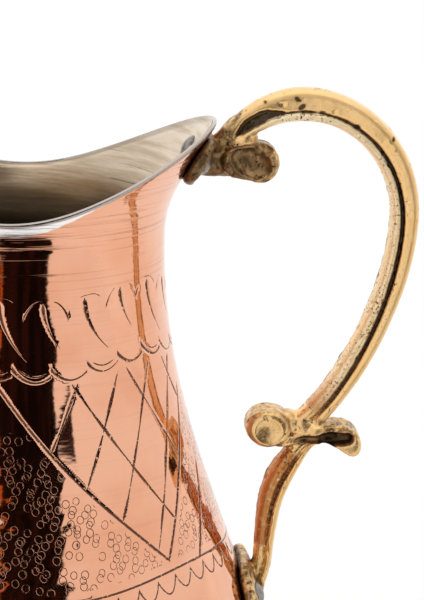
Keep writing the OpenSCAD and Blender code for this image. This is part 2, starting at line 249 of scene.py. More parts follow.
def engraving(ang, height):
    o = ornament
    arc = (46 + 0.0031 * (200 - height) * (200 - height)) * math.pi / 180
    z = height - 1.3 * sine(ang * math.radians(5) + math.radians(265))
    cuts = []

    pitch = 360 / o["leaves"]
    u = (ang + o["leafTurn"]) / pitch
    leaf = whole(u)
    f = u - leaf - 0.5
    bend = size(f)
    top = o["leafTop"] - o["leafFall"] * bend * bend * bend
    slope = 3 * o["leafFall"] * bend * bend / (pitch * arc)
    half = o["leafThin"] + o["leafThick"] * bend * bend * bend * bend + 0.05 * sine(leaf * 2.4)
    cuts.append((size(z - top) / root(1 + slope * slope), half * over(sine(f * 8 + leaf * 2.9), -0.4)))
    for back in (0, 1):
        which = leaf - back
        which = which - o["leaves"] * whole(which / o["leaves"])
        lead = o["veinLead"] + 2.3 * sine(which * 1.7 * math.radians(pitch) + 2.1)
        drop = o["leafTop"] - 0.8 - z
        run = most(drop, 0.0)
        off = size((f + 0.5 + back) * pitch - lead - o["veinCurl"] * run * run) * arc
        lean = 2 * o["veinCurl"] * run * arc
        length = o["veinLength"] + 2.5 * sine(which * 3.1)
        fade = most(1 - run / length, 0.0)
        cuts.append((off / root(1 + lean * lean), o["veinHalf"] * fade * ramp(drop, -0.6, 1.5)))

    pitch = 360 / o["scallops"]
    u = (ang + o["scallopTurn"]) / pitch
    scallop = whole(u)
    q = u - scallop
    low = o["scallopLow"]
    left, right = most(low - q, 0.0) / low, most(q - low, 0.0) / (1 - low)
    dish = o["scallopZ"] + o["scallopLeft"] * left * left + o["scallopRight"] * right * right
    slope = 2 * (o["scallopLeft"] * left / low + o["scallopRight"] * right / (1 - low)) / (pitch * arc)
    lean = root(1 + slope * slope)
    cuts.append((size(z - dish) / lean, 0.3 + 0.34 * left + 0.1 * sine(scallop * 1.9)))
    half = 0.24 * over(sine(scallop * 2.7), -0.2) * ramp(q, 0.1, 0.3) * ramp(-q, -0.95, -0.7)
    cuts.append((size(z - dish - o["echoRise"]) / lean, half))

    span = 360 / o["quarters"]
    u = (ang + span / 2) / span
    turn = (u - whole(u + 0.5)) * span
    fall = o["latticeTop"] - z
    leftSide = o["leftGrade"] * fall - o["leftAt"]
    rightSide = o["rightAt"] - o["rightGrade"] * fall
    rule = lambda gradient: root(1 + (gradient * arc) * (gradient * arc))
    under = ramp(fall, 0.0, 1.5)
    closed = ramp(rightSide - leftSide, -1.0, 1.0)
    half = o["latticeHalf"]
    cuts.append((size(turn - leftSide) * arc / rule(o["leftGrade"]), half * under * closed))
    cuts.append((size(turn - rightSide) * arc / rule(o["rightGrade"]), half * ramp(fall, 8.0, 10.0) * closed))
    inLattice = ramp(turn - leftSide, 0.0, 2.0) * ramp(rightSide - turn, 0.0, 2.0) * under
    row = (turn - o["fallGrade"] * fall + 19) / o["fallPitch"]
    near = whole(row + 0.5)
    wear_and_painted_shade = 0.75 + 0.25 * sine(z * 0.45 + near * 2.0)
    away = size(row - near) * o["fallPitch"] * arc / rule(o["fallGrade"])
    cuts.append((away, half * inLattice * wear_and_painted_shade * over(row, -0.5)))
    row = (turn + o["riseGrade"] * fall + 16.6) / o["risePitch"]
    near = whole(row + 0.5)
    wear_and_painted_shade = 0.72 + 0.28 * sine(z * 0.5 + near * 1.3)
    away = size(row - near) * o["risePitch"] * arc / rule(o["riseGrade"])
    cuts.append((away, (half + 0.02) * inLattice * wear_and_painted_shade * over(row, -0.5)))

    outside = most(ramp(leftSide - turn, 1.5, 2.5), ramp(turn - rightSide, 1.5, 2.5))
    field = outside * ramp(fall, 11.0, 12.5) * ramp(z, o["borderZ"] + 1.5, o["borderZ"] + 3)
    half = 0.5 * ramp(fall, 29.0, 31.0) * over(o["latticeTop"] - o["borderZ"], fall)
    cuts.append((size(turn - rightSide - o["sideLine"]) * arc / rule(o["rightGrade"]), half))
    # punched rings, in two loose nets laid over each other
    for net in (0, 1):
        row = z / o["ringRise"] + 0.5 * net
        j = whole(row)
        a = ang * (o["ringsRound"] / 360) + 0.5 * (j - 2 * whole(j / 2)) + 0.25 * net
        i = whole(a)
        i = i - o["ringsRound"] * whole(i / o["ringsRound"]) + 40 * net
        dx = (a - whole(a) - 0.5 - 0.19 * sine(i * 1.9 + j * 2.7)) * (360 / o["ringsRound"]) * arc
        dz = (row - j - 0.5 - 0.17 * sine(i * 2.3 + j * 1.3)) * o["ringRise"]
        ring = o["ringR"] + 0.06 * sine(i * 3.7 + j * 5.1)
        bunch = sine(i * 0.9 + j * 1.1) + sine(j * 1.2 - i * 0.6 + 1) + 0.7 * sine(i * 2.1 + j * 1.7)
        half = o["ringHalf"] * over(field, 0.5) * over(bunch, -0.8)
        cuts.append((size(root(dx * dx + dz * dz) - ring), half))

    cuts.append((size(z - o["borderZ"]), o["borderHalf"]))
    u = (ang + o["scallopTurn"]) / (pitch / 2)
    q = 2 * (u - whole(u)) - 1
    fringe = o["borderZ"] - o["fringeGap"] - o["fringeDrop"] * (1 - q * q)
    slope = 4 * o["fringeDrop"] * q / (pitch * arc / 2)
    cuts.append((size(z - fringe) / root(1 + slope * slope), o["fringeHalf"]))
    return cuts


def cutDepth(cuts, spread, depth):
    deepest = 0.0
    for away, half in cuts:
        deepest = most(deepest, half * depth * most(1 - away / (half + spread), 0.0))
    return deepest


def cutCore(cuts):
    # 1 in the middle of a cut, 0 at its edges
    core = 0.0
    for away, half in cuts:
        core = most(core, most(1 - away / (half + 0.06), 0.0) * over(half, 0.07))
    return core


# meshes
def deselect():
    bpy.ops.object.select_all(action="DESELECT")


def active():
    return bpy.context.view_layer.objects.active


def faceMode(on):
    bpy.ops.object.mode_set(mode="EDIT" if on else "OBJECT")


def rings(name, profile, steps, capped=False):
    # a circle is extruded ring by ring up a line of (radius, height) in mm
    deselect()
    r, z = profile[0]
    bpy.ops.mesh.primitive_circle_add(vertices=steps, radius=r * mm, location=(0, 0, 0))
    o = active()
    o.name = o.data.name = name
    faceMode(True)
    bpy.ops.mesh.select_all(action="SELECT")
    bpy.ops.transform.translate(value=(0, 0, z * mm))
    if capped:
        bpy.ops.mesh.edge_face_add()
        bpy.ops.mesh.select_mode(type="EDGE")
        bpy.ops.mesh.select_all(action="SELECT")
    for r2, z2 in profile[1:]:
        bpy.ops.mesh.extrude_edges_move(TRANSFORM_OT_translate={"value": (0, 0, (z2 - z) * mm)})
        bpy.ops.transform.resize(value=(r2 / r, r2 / r, 1), center_override=(0, 0, z2 * mm))
        r, z = r2, z2
    faceMode(False)
    return o


def coords(o):
    co = np.zeros(len(o.data.vertices) * 3)
    o.data.vertices.foreach_get("co", co)
    return co.reshape(-1, 3) / mm


def setCoords(o, co):
    o.data.vertices.foreach_set("co", (co * mm).ravel())
    o.data.update()


def tag(o, name, values):
    a = o.data.attributes.get(name) or o.data.attributes.new(name, "FLOAT", "POINT")
    a.data.foreach_set("value", np.asarray(values, np.float32))


def tagged(o, name):
    values = np.zeros(len(o.data.vertices), np.float32)
    o.data.attributes[name].data.foreach_get("value", values)
    return values


def apply(o, kind, **settings):
    bpy.context.view_layer.objects.active = o
    m = o.modifiers.new("work", kind)
    for key, value in settings.items():
        setattr(m, key, value)
    bpy.ops.object.modifier_apply(modifier=m.name)


def tidyNormals(o, openShell=False):
    deselect()
    o.select_set(True)
    bpy.context.view_layer.objects.active = o
    faceMode(True)
    bpy.ops.mesh.select_all(action="SELECT")
    bpy.ops.mesh.remove_doubles(threshold=1e-6)
    bpy.ops.mesh.normals_make_consistent(inside=False)
    faceMode(False)
    facing = sum(p.normal.x * p.center.x + p.normal.y * p.center.y for p in o.data.polygons)
    if openShell and facing < 0:
        o.data.flip_normals()


def dress(o, material, node):
    o.data.materials.clear()
    o.data.materials.append(material)
    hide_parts(node)
    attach(o, "root")
    print("piece:", o.name, len(o.data.polygons), "faces")


# copper wall
copperWall = {"columns": 200, "lowRows": 34, "flareStart": 200, "flareTop": 230, "flareRows": 14,
              "refineTop": 196, "refineLow": 111, "row": 1.8, "rimRound": 0.5, "spread": 0.3, "depth": 0.3,
              "refine": ((1.2, 0.12), (0.55, 0.15))}


def makeCopperWall():
    c = copperWall
    low = np.linspace(vessel["plate"], c["refineLow"], c["lowRows"])
    mid = np.arange(c["refineLow"] + c["row"], c["flareStart"] - 0.5, c["row"])
    heights = [*low, *mid, *np.linspace(c["flareStart"], c["flareTop"], c["flareRows"] + 1)]
    wall = rings("copper_wall", [(spunAt(z), z) for z in heights], c["columns"])
    co = coords(wall)
    ang, z = np.arctan2(co[:, 1], co[:, 0]), co[:, 2].copy()
    share = np.clip((z - c["flareStart"]) / (c["flareTop"] - c["flareStart"]), 0, 1)
    z = np.where(share > 0, c["flareStart"] + share * (rimZ(ang) - c["flareStart"]), z)
    setCoords(wall, wallAt(ang, z))
    tidyNormals(wall, True)
    count = len(wall.data.vertices)
    apply(wall, "SOLIDIFY", thickness=vessel["wall"] * mm, offset=-1, use_even_offset=True)
    skin = np.zeros(len(wall.data.vertices))
    skin[:count] = 1
    tag(wall, "skin", skin)

    # the rim's two edges are rounded
    faceMode(True)
    bpy.ops.mesh.select_mode(type="EDGE")
    bpy.ops.mesh.select_all(action="DESELECT")
    faceMode(False)
    co = coords(wall)
    edges = np.zeros(len(wall.data.edges) * 2, np.int64)
    wall.data.edges.foreach_get("vertices", edges)
    edges = edges.reshape(-1, 2)
    topZ = rimZ(np.arctan2(co[:, 1], co[:, 0]))
    atRim = co[:, 2] > topZ - 0.25
    atRim = atRim | ((skin == 0) & (co[:, 2] > topZ - 1.6))
    ends = atRim[edges].all(1) & (skin[edges[:, 0]] == skin[edges[:, 1]])
    turn = np.abs(np.angle(np.exp(1j * (np.arctan2(co[edges[:, 0], 1], co[edges[:, 0], 0])
                                        - np.arctan2(co[edges[:, 1], 1], co[edges[:, 1], 0])))))
    wall.data.edges.foreach_set("select", ends & (turn > 1e-4))
    faceMode(True)
    bpy.ops.mesh.bevel(offset=c["rimRound"] * mm, segments=4, profile=0.5)
    faceMode(False)

    # finer faces along the cuts, then the cuts themselves
    for reach, thinnest in c["refine"]:
        centres = np.zeros(len(wall.data.polygons) * 3)
        wall.data.polygons.foreach_get("center", centres)
        centres = centres.reshape(-1, 3) / mm
        skin = tagged(wall, "skin")
        onSkin = np.array([min(skin[v] for v in p.vertices) > 0.99 and len(p.vertices) == 4
                           for p in wall.data.polygons])
        ang, z = np.degrees(np.arctan2(centres[:, 1], centres[:, 0])), centres[:, 2]
        close = np.full(len(z), 9.0)
        for away, half in engraving(ang, z):
            close = np.minimum(close, np.where(half > thinnest, away - half, 9.0))
        chosen = onSkin & (close < reach) & (z > c["refineLow"]) & (z < c["refineTop"])
        faceMode(True)
        bpy.ops.mesh.select_mode(type="FACE")
        bpy.ops.mesh.select_all(action="DESELECT")
        faceMode(False)
        wall.data.polygons.foreach_set("select", chosen)
        faceMode(True)
        bpy.ops.mesh.subdivide(number_cuts=1)
        faceMode(False)
    co = coords(wall)
    skin = tagged(wall, "skin") > 0.99
    ang, z = np.arctan2(co[:, 1], co[:, 0]), co[:, 2]
    engraved = skin & (z > c["refineLow"] - 3) & (z < c["refineTop"] + 3)
    deep = lambda a, h: cutDepth(engraving(np.degrees(a), h), c["spread"], c["depth"])
    co[engraved] = wallAt(ang[engraved], z[engraved], deep(ang[engraved], z[engraved]))
    setCoords(wall, co)
    tag(wall, "below", np.where(skin, rimZ(ang) - z, 0.0))
    deselect()
    wall.select_set(True)
    bpy.ops.object.shade_smooth()

    # exact normals on the engraved skin
    normals = np.zeros(len(wall.data.vertices) * 3)
    wall.data.vertices.foreach_get("normal", normals)
    normals = normals.reshape(-1, 3)
    normals[engraved] = wallNormal(ang[engraved], z[engraved], deep)
    wall.data.normals_split_custom_set_from_vertices(normals)
    return wall


# tin coat
tinCoat = {"columns": 180, "rows": 64, "gap": 0.02, "bendZ": 195, "topZ": 230, "underRim": 0.75,
           "floor": (2, 14, 30, 45), "corner": 0.3}


def makeTinCoat():
    c = tinCoat
    inset = vessel["wall"] + vessel["tin"]
    heights = np.linspace(vessel["plate"] + vessel["solder"], c["topZ"], c["rows"])
    floorZ = vessel["plate"] + vessel["tin"]
    floorR = vessel["baseR"] - vessel["wall"] - vessel["solder"]
    profile = [(r, floorZ) for r in (*c["floor"], floorR - 1)] + [(floorR, floorZ + c["corner"])]
    inner = [(spunAt(z), z) for z in heights]
    tin = rings("tin_coat", profile + inner, c["columns"], True)
    co = coords(tin)
    ang, z = np.arctan2(co[:, 1], co[:, 0]), co[:, 2].copy()
    wall = z > vessel["plate"] + vessel["solder"] - 0.01
    share = np.clip((z - c["bendZ"]) / (c["topZ"] - c["bendZ"]), 0, 1)
    z = np.where(share > 0, c["bendZ"] + share * (rimZ(ang) - c["underRim"] - c["bendZ"]), z)
    co[wall] = (wallAt(ang, z) - inset * wallNormal(ang, z))[wall]
    setCoords(tin, co)
    tidyNormals(tin, True)
    tin.data.flip_normals()
    apply(tin, "SOLIDIFY", thickness=(vessel["tin"] - c["gap"]) * mm, offset=-1)
    tag(tin, "below", rimZ(np.arctan2(coords(tin)[:, 1], coords(tin)[:, 0])) - coords(tin)[:, 2])
    bpy.ops.object.shade_smooth()
    return tin


# base plate, its edge folded over the wall's flange
basePlate = {"columns": 160, "foldR": 61.5, "foldEnd": 60.1, "bead": 1.05, "gap": 0.02, "floor": (3, 20, 40)}


def makeBasePlate():
    c = basePlate
    t, b = vessel["plate"], c["bead"]
    outR = c["foldR"] + t
    foldTop = t + vessel["wall"] + t
    end, under = c["foldEnd"], foldTop - t + c["gap"]
    quarter = lambda cz, first: [(outR - b + b * math.cos(math.radians(first + 18 * i)),
                                  cz + b * math.sin(math.radians(first + 18 * i))) for i in range(6)]
    profile = [(r, 0) for r in (*c["floor"], outR - b - 2)] + quarter(b, -90) + quarter(foldTop - b, 0)
    profile += [(end + 0.5, foldTop), (end, foldTop - 0.35), (end + 0.1, under), (c["foldR"], under),
                (c["foldR"], t + c["gap"] / 2), (c["floor"][-1], t), (c["floor"][0], t)]
    plate = rings("base_plate_copper", profile, c["columns"], True)
    faceMode(True)
    bpy.ops.mesh.edge_face_add()
    faceMode(False)
    tidyNormals(plate)
    tag(plate, "below", np.full(len(plate.data.vertices), 100.0))
    bpy.ops.object.shade_smooth_by_angle(angle=math.radians(40))
    return plate


# cast handle: a grooved bow and leg, two rolled knobs, a curl and two pads
handle = {"bowOut": 64.4, "bowRise": 5, "crownOut": 36, "crownRise": 35, "bowHalf": 4.5, "bowHalfW": 5,
          "legHalf": 3, "legHalfW": 4.2, "scrollOut": 39, "scrollDrop": 54, "scrollTurn": 41.3,
          "legTurn": 56, "curlOut": 12.5,
          "highKnobR": 5.3, "highKnobOut": 15.2, "lowKnobR": 6.3, "knobHalfW": 6, "padT": 3.2,
          "highPadRise": 20.6, "highPadH": 13.4, "highPadW": 31, "rootDrop": 0.15,
          "lowPadDrop": 101, "lowPadH": 18, "lowPadW": 33, "voxel": 0.38, "smooth": 2, "grooveDepth": 1.0,
          "webR": 0.72, "curlHalfW": 5.2}


# the bow from root to scroll: places along it, then shares of thickness and width, the bead's share,
# half width of the groove in mm, and how far the groove moves outwards
bowForm = {"share": ([0, 0.03, 0.08, 0.14, 0.2, 0.35, 0.53, 0.75, 1],
                     [0.45, 0.62, 0.77, 0.9, 1, 0.95, 0.85, 0.82, 0.78]),
           "wide": ([0, 0.05, 0.12, 0.22, 0.36, 0.55, 0.8, 1], [0.5, 0.6, 0.68, 0.84, 1.04, 1.0, 0.9, 0.82]),
           "bead": ([0, 0.12, 0.5, 0.7, 0.85, 1], [0.30, 0.31, 0.37, 0.50, 0.58, 0.58]),
           "groove": ([0, 0.066, 0.08, 0.1, 0.13, 0.155, 0.18, 0.35, 0.5, 0.65, 0.8, 0.86, 0.9, 1],
                      [0.02, 0.02, 0.8, 1.6, 1.7, 0.9, 0.22, 0.34, 0.55, 0.46, 0.34, 0.2, 0.03, 0.02]),
           "shift": ([0, 0.07, 0.1, 0.14, 0.18, 1], [0, 0.2, 0.36, 0.32, 0, 0])}
legForm = {"start": 9, "share": (0.62, 1.15, 0.85, 0.38), "bead": (0.70, 0.56), "groove": 0.2}
grooveOffset = 1.03

# pits in the bow: place beside the crown, half sizes, turn in degrees
flaws = [(-2.5, 1.6, (1.0, 0.7, 0.75), 30), (-1.2, -0.4, (1.15, 0.75, 0.7), -40),
         (13.6, -5.1, (0.9, 0.6, 0.7), 20), (23.5, -8.2, (0.4, 0.5, 0.75), 15),
         (-10.9, 0.5, (0.5, 0.4, 0.4), 0)]
curlOutline = [(-11, 1.6), (-6.3, 2.1), (-0.6, 2.3), (2.8, 0.7), (4.5, -2.4), (4.3, -5.8), (1.9, -7.1),
               (-0.7, -5.3), (-3.0, -3.9), (-6.7, -3.1), (-11, -3.9)]


def bezier(p, n):
    t = np.linspace(0, 1, n, endpoint=False)[:, None]
    p = [np.asarray(q, float) for q in p]
    return (1 - t) ** 3 * p[0] + 3 * (1 - t) ** 2 * t * p[1] + 3 * (1 - t) * t * t * p[2] + t ** 3 * p[3]


def towards(p, angle, d):
    return np.asarray(p, float) + d * np.array([math.cos(math.radians(angle)), math.sin(math.radians(angle))])


def handleLines():
    h, v = handle, vessel
    highZ, lowZ = v["neckZ"] + h["highPadRise"], v["neckZ"] - h["lowPadDrop"]
    start = np.array([spunAt(highZ) + h["padT"] / 2, highZ - h["highPadH"] * h["rootDrop"]])
    crown = np.array([v["neckR"] + h["crownOut"], v["neckZ"] + h["crownRise"]])
    widest = np.array([v["neckR"] + h["bowOut"], v["neckZ"] + h["bowRise"]])
    scroll = np.array([v["neckR"] + h["scrollOut"], v["neckZ"] - h["scrollDrop"]])
    lowKnob = scroll - [h["lowKnobR"] * 1.4, 0]
    highKnob = start + [h["highKnobOut"], h["highKnobR"] / 8]
    q = 0.5523
    bow = np.concatenate([
        bezier([start, towards(start, 46, 11.5), crown - [11, 0], crown], 40),
        bezier([crown, [crown[0] + (widest[0] - crown[0]) * q, crown[1]],
                [widest[0], widest[1] + (crown[1] - widest[1]) * q], widest], 60),
        bezier([widest, widest - [0, 20], towards(scroll, h["scrollTurn"], 17.7), scroll], 70),
        bezier([scroll, towards(scroll, h["scrollTurn"], -h["lowKnobR"] / 2),
                towards(lowKnob, -70, h["lowKnobR"] * 0.7), lowKnob], 16),
        [lowKnob]])
    curlTop = scroll + [h["curlOut"], -h["legHalf"] / 4]
    legTop = scroll - [h["legHalf"] / 2, h["lowKnobR"] * 1.35]
    foot = np.array([spunAt(lowZ) + h["padT"] / 2, lowZ])
    ankle = foot + [h["legHalf"] * 0.7, 8]
    leg = np.concatenate([
        bezier([curlTop, curlTop - [h["curlOut"] / 2, 0],
                towards(legTop, h["legTurn"], h["lowKnobR"]), legTop], 24),
        bezier([legTop, towards(legTop, h["legTurn"], -11), foot + [h["legHalf"], 24], ankle], 40),
        bezier([ankle, foot + [h["legHalf"] * 0.5, 5], foot + [0.4, 1], foot - [0, 3.2]], 8)])
    return bow, leg, start, highKnob, lowKnob, curlTop


def shares(n, start, thick, end, place):
    t = np.linspace(0, 1, n)
    e = lambda u: u * u * (3 - 2 * u)
    up = start + (thick - start) * e(np.clip(t / place, 0, 1))
    down = thick + (end - thick) * e(np.clip((t - place) / (1 - place), 0, 1))
    return np.where(t < place, up, down)


def sideways(line):
    d = np.gradient(line, axis=0)
    d /= np.linalg.norm(d, axis=1, keepdims=True)
    return np.stack([-d[:, 1], d[:, 0]], 1)


def skinOf(name, rows):
    # rows of points, closed round and at both ends
    count, m = len(rows), len(rows[0])
    faces = [(i * m + j, i * m + (j + 1) % m, (i + 1) * m + (j + 1) % m, (i + 1) * m + j)
             for i in range(count - 1) for j in range(m)]
    faces += [tuple(range(m)), tuple(range(count * m - 1, (count - 1) * m - 1, -1))]
    mesh = bpy.data.meshes.new(name)
    mesh.from_pydata((np.concatenate(rows) * mm).tolist(), [], faces)
    o = bpy.data.objects.new(name, mesh)
    scene.collection.objects.link(o)
    tidyNormals(o)
    return o


def rod(name, line, half, halfW, inner, grooveAt, grooveW):
    # a broad outer band and a narrower inner bead, with a cut groove between them
    n, count = sideways(line), 60
    edge, step, full = 0.42, 0.2, 2.4
    place = np.cos(np.linspace(0, math.pi, count))
    points = []
    turned = lambda u: np.sqrt(1 - np.clip(u, 0, 1) ** 2)
    for i in range(len(line)):
        low = 2 * inner[i] - 1.1
        band = (0.97 + 0.1 * (place - 0.3)) * turned((place - 1 + edge) / edge)
        band = band * turned((low + step - place) / step)
        bead = np.maximum(1 - np.abs((place - inner[i] + 1) / inner[i]) ** full, 0) ** (1 / full)
        w = np.maximum(band, 0.9 * bead) * halfW[i]
        away = np.abs(place - grooveAt[i]) * half[i] / grooveW[i]
        w = np.maximum(w - handle["grooveDepth"] * np.clip(1.4 - away ** 2, 0, 1), 0)
        w[[0, -1]] = 0
        s = np.concatenate([place, place[-2:0:-1]]) * half[i]
        w = np.concatenate([-w, w[-2:0:-1]])
        points.append(np.stack([line[i, 0] + n[i, 0] * s, w, line[i, 1] + n[i, 1] * s], 1))
    return skinOf(name, points)


def knob(name, centre, r, halfW, edge, tail=None, flat=1.0, steps=6):
    # short roll across the handle with round edges; a tail draws one side out into a bean
    deselect()
    bpy.ops.mesh.primitive_cylinder_add(vertices=64, radius=r * mm, depth=2 * halfW * mm, location=(0, 0, 0),
                                        rotation=(math.pi / 2, 0, 0))
    o = active()
    o.name = name
    bpy.ops.object.transform_apply(location=True, rotation=True, scale=True)
    if tail:
        dx, dz, share = tail
        for v in o.data.vertices:
            if v.co.x * dx + v.co.z * dz > 1e-6:
                v.co = (v.co.x * share + dx * mm, v.co.y, v.co.z * share + dz * mm)
    faceMode(True)
    bpy.ops.mesh.select_mode(type="FACE")
    bpy.ops.mesh.select_all(action="DESELECT")
    faceMode(False)
    for p in o.data.polygons:
        p.select = abs(p.normal.y) > 0.9
    faceMode(True)
    bpy.ops.mesh.bevel(offset=r * edge * mm, segments=steps, affect="EDGES")
    bpy.ops.mesh.select_all(action="SELECT")
    bpy.ops.transform.resize(value=(1, 1, flat), center_override=(0, 0, 0))
    bpy.ops.transform.translate(value=(centre[0] * mm, 0, centre[1] * mm))
    faceMode(False)
    return o


def ball(name, centre, axes, turn=0):
    deselect()
    bpy.ops.mesh.primitive_uv_sphere_add(segments=48, ring_count=24, radius=mm, location=(0, 0, 0))
    o = active()
    o.name = name
    o.data.transform(Matrix.Translation(Vector(centre) * mm) @ Matrix.Rotation(math.radians(turn), 4, "Y")
                     @ Matrix.Diagonal((*axes, 1)))
    return o


def slab(name, outline, halfW):
    # thick plate with a rounded outline
    for i in range(2):
        ahead = np.roll(outline, -1, axis=0)
        outline = np.stack([0.75 * outline + 0.25 * ahead, 0.25 * outline + 0.75 * ahead], 1).reshape(-1, 2)
    rows = [(-1, 0.86), (-0.9, 0.97), (-0.7, 1), (0.7, 1), (0.9, 0.97), (1, 0.86)]
    middle = outline.mean(0)
    layer = lambda y, share: [(x, halfW * y, z) for x, z in middle + (outline - middle) * share]
    return skinOf(name, [layer(y, share) for y, share in rows])


def hollowed(co, hollow):
    # share from the middle of a hollow, and how far out its floor lies
    x, y, z, axes, turn, power = hollow[1:]
    k = math.radians(turn)
    dx, dz = co[:, 0] - x, co[:, 2] - z
    u = np.abs(dx * math.cos(k) - dz * math.sin(k)) / axes[0]
    v = np.abs(dx * math.sin(k) + dz * math.cos(k)) / axes[2]
    inside = u ** power + v ** power
    return inside, y - axes[1] * np.maximum(1 - inside, 0) ** (1 / power)


def pad(name, z0, w, h):
    # round-ended plate bent on to the wall, its outer edge softened
    around = 72
    rows = [(0.5, 0.0), (0.85, 0.0), (0.97, 0.05), (1.0, 0.2), (1.01, 0.5), (0.98, 0.8), (0.92, 0.96),
            (0.8, 1.0), (0.6, 1.0), (0.3, 1.0)]
    t = np.linspace(0, 2 * math.pi, around, endpoint=False)
    y = np.sign(np.cos(t)) * (w - h) / 2 + h / 2 * np.cos(t)
    v = h / 2 * np.sin(t)
    lean = math.atan(spunAt(z0 + 0.5) - spunAt(z0 - 0.5))
    points = []
    for share, rise in rows:
        z = z0 + v * share * math.cos(lean)
        ang = y * share / spunAt(z0)
        nose = 1 + 0.22 * ramp(np.abs(y * share), 11.6, 14)
        points.append(wallAt(ang, z) + wallNormal(ang, z) * (rise * handle["padT"] * nose)[:, None])
    return skinOf(name, points)


def settled(o, values, rounds):
    # values or places averaged over neighbours
    edges = np.zeros(len(o.data.edges) * 2, np.int64)
    o.data.edges.foreach_get("vertices", edges)
    a, b = edges.reshape(-1, 2).T
    degree = np.bincount(np.concatenate([a, b]), minlength=len(values))[:, None]
    for i in range(rounds):
        total = np.zeros_like(values)
        for axis in range(values.shape[1]):
            for one, other in ((a, b), (b, a)):
                total[:, axis] += np.bincount(one, values[other, axis], len(values))
        values = 0.5 * values + 0.5 * total / degree
    return values


